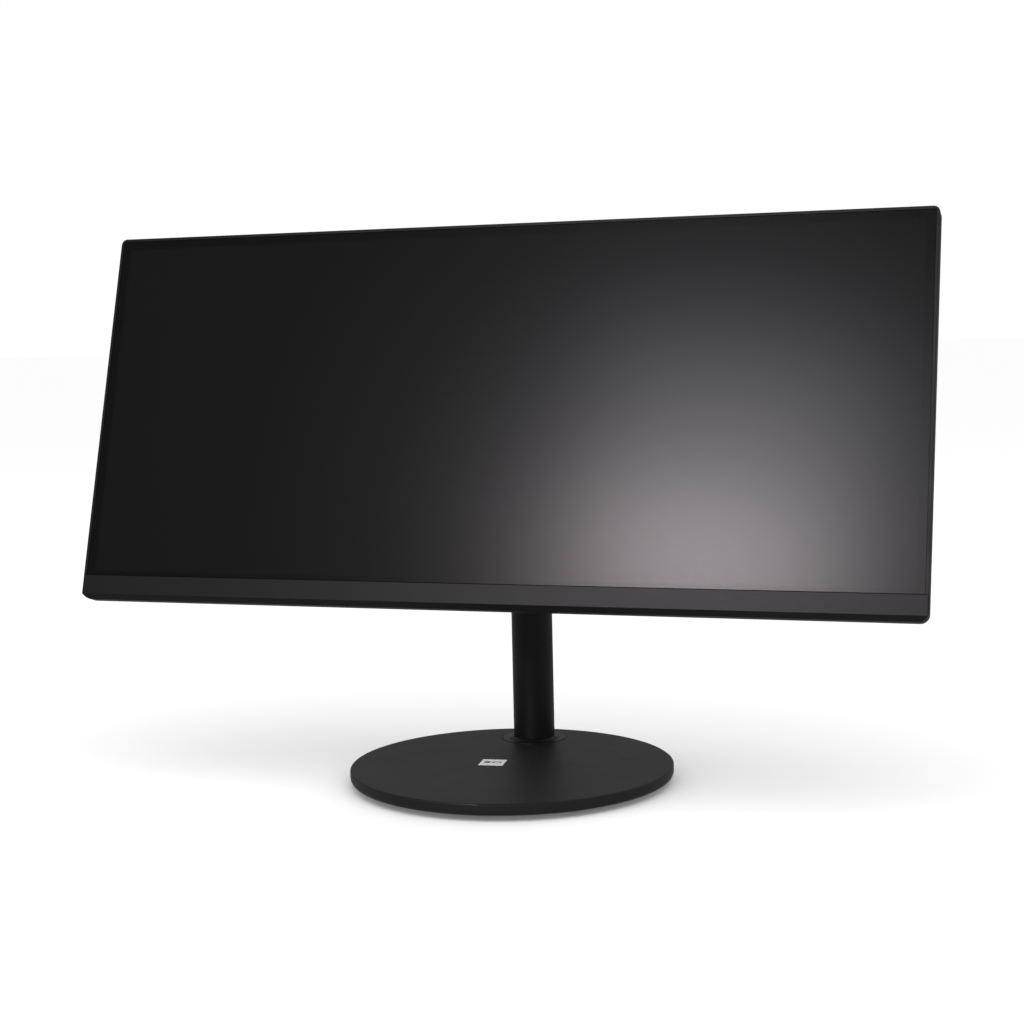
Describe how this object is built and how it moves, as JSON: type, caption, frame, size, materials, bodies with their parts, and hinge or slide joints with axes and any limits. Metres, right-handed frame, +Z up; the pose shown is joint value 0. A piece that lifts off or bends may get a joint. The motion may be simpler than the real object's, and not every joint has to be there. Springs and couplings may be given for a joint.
{
  "type": "computer monitor",
  "caption": "Ultra-wide flat desktop monitor with a slim rim and lower bar, on a round disc base with a rear column that swivels, lifts and tilts.",
  "frame": {"origin": "on the desk, under the middle of the screen and level with the centre of the base disc", "axes": "+X to the right along the screen's width for someone facing it, +Y away from that person, +Z up"},
  "size_m": [0.692, 0.2605, 0.4465],
  "materials": {
    "housing": "fine satin black",
    "chin": "satin gloss black bar",
    "screen": "dark semi-gloss display face, switched off",
    "lens": "translucent smoke",
    "optical_film": "white film",
    "light_guide": "clear acrylic",
    "white_plastic": "white moulded",
    "sheet_steel": "zinc-plated sheet",
    "circuit_board": "green solder mask",
    "aluminium": "extruded",
    "socket_metal": "nickel-plated",
    "black_plastic": "black moulded",
    "brass": "machined",
    "hinge_steel": "dark pressed steel",
    "screw_steel": "black zinc",
    "column_paint": "satin black coat",
    "base_satin": "fine-textured satin black",
    "ballast": "raw casting",
    "rubber": "black",
    "label": "white film label, blank",
    "slide_plastic": "acetal",
    "spring_steel": "blued spring strip"
  },
  "bodies": {
    "base": {"base_plate": "sheet_steel", "base_ballast": "ballast", "base_cover": "base_satin", "base_screws": "screw_steel", "rubber_feet": "rubber", "base_label": "label", "swivel_post": "hinge_steel", "swivel_washer": "slide_plastic", "swivel_nut": "screw_steel"},
    "thumbscrew": {"thumbscrew": "hinge_steel"},
    "column": {"column_tube": "column_paint", "column_cap": "black_plastic", "column_foot": "column_paint", "guide_rail": "sheet_steel"},
    "carriage": {"carriage": "ballast", "slide_pads": "slide_plastic", "spring_drum": "spring_steel", "lift_spring": "spring_steel"},
    "latch": {"release_latch": "black_plastic"},
    "stick_gimbal": {"joystick_gimbal": "white_plastic"},
    "stick_stem": {"joystick_stem": "hinge_steel"},
    "stick_cap": {"joystick_cap": "black_plastic"},
    "head": {"front_frame": "housing", "chin_trim": "chin", "power_lamp_lens": "lens", "rear_cover": "housing", "electronics_cover": "housing", "stand_recess": "housing", "cover_screws": "screw_steel", "display_glass": "screen", "diffuser_films": "optical_film", "light_guide": "light_guide", "reflector_sheet": "white_plastic", "cell_frame": "black_plastic", "panel_chassis": "sheet_steel", "backlight_strip": "white_plastic", "timing_board": "circuit_board", "main_board": "circuit_board", "backlight_driver_board": "circuit_board", "board_standoffs": "brass", "board_screws": "screw_steel", "heat_sink": "aluminium", "port_panel": "sheet_steel", "digital_sockets": "socket_metal", "dc_socket": "black_plastic", "audio_jack": "black_plastic", "board_shield": "sheet_steel", "speakers": "black_plastic", "ribbon_cable": "white_plastic", "joystick_switch": "black_plastic", "mounting_plate": "sheet_steel", "mounting_inserts": "brass", "plate_standoffs": "aluminium", "stand_plate": "hinge_steel", "stand_screws": "screw_steel", "tilt_bracket": "hinge_steel", "tilt_pin": "hinge_steel", "tilt_nut": "screw_steel", "friction_washers": "brass", "latch_spring": "spring_steel"}
  },
  "joints": [
    {"name": "thumbscrew_turn", "type": "hinge", "parent": "base", "child": "thumbscrew", "pos_m": [0, 0.0947, 0.003], "axis": [0, 0, 1], "continuous": true},
    {"name": "swivel", "type": "hinge", "parent": "base", "child": "column", "pos_m": [0, 0.0947, 0.02], "axis": [0, 0, 1], "range_deg": [-23.3, 36.7]},
    {"name": "height", "type": "slide", "parent": "column", "child": "carriage", "axis": [0, 0, 1], "range_m": [-0.055, 0.055], "deforming": ["lift_spring"]},
    {"name": "tilt", "type": "hinge", "parent": "carriage", "child": "head", "pos_m": [0, 0.0458, 0.2821], "axis": [-1, 0, 0], "range_deg": [-22, 3]},
    {"name": "latch_press", "type": "slide", "parent": "head", "child": "latch", "axis": [0, -0.2924, -0.9563], "range_m": [0, 0.003], "stiffness_N_per_m": 900, "springref_m": -0.003, "deforming": ["latch_spring"]},
    {"name": "stick_up_down", "type": "hinge", "parent": "head", "child": "stick_gimbal", "pos_m": [0.29, -0.03317, 0.18285], "axis": [1, 0, 0], "range_deg": [-7, 7], "stiffness_Nm_per_rad": 0.05},
    {"name": "stick_left_right", "type": "hinge", "parent": "stick_gimbal", "child": "stick_stem", "pos_m": [0.29, -0.03317, 0.18285], "axis": [0, 0.2924, 0.9563], "range_deg": [-7, 7], "stiffness_Nm_per_rad": 0.05},
    {"name": "stick_press", "type": "slide", "parent": "stick_stem", "child": "stick_cap", "axis": [0, -0.9563, 0.2924], "range_m": [0, 0.0005], "stiffness_N_per_m": 900, "springref_m": -0.0005}
  ]
}
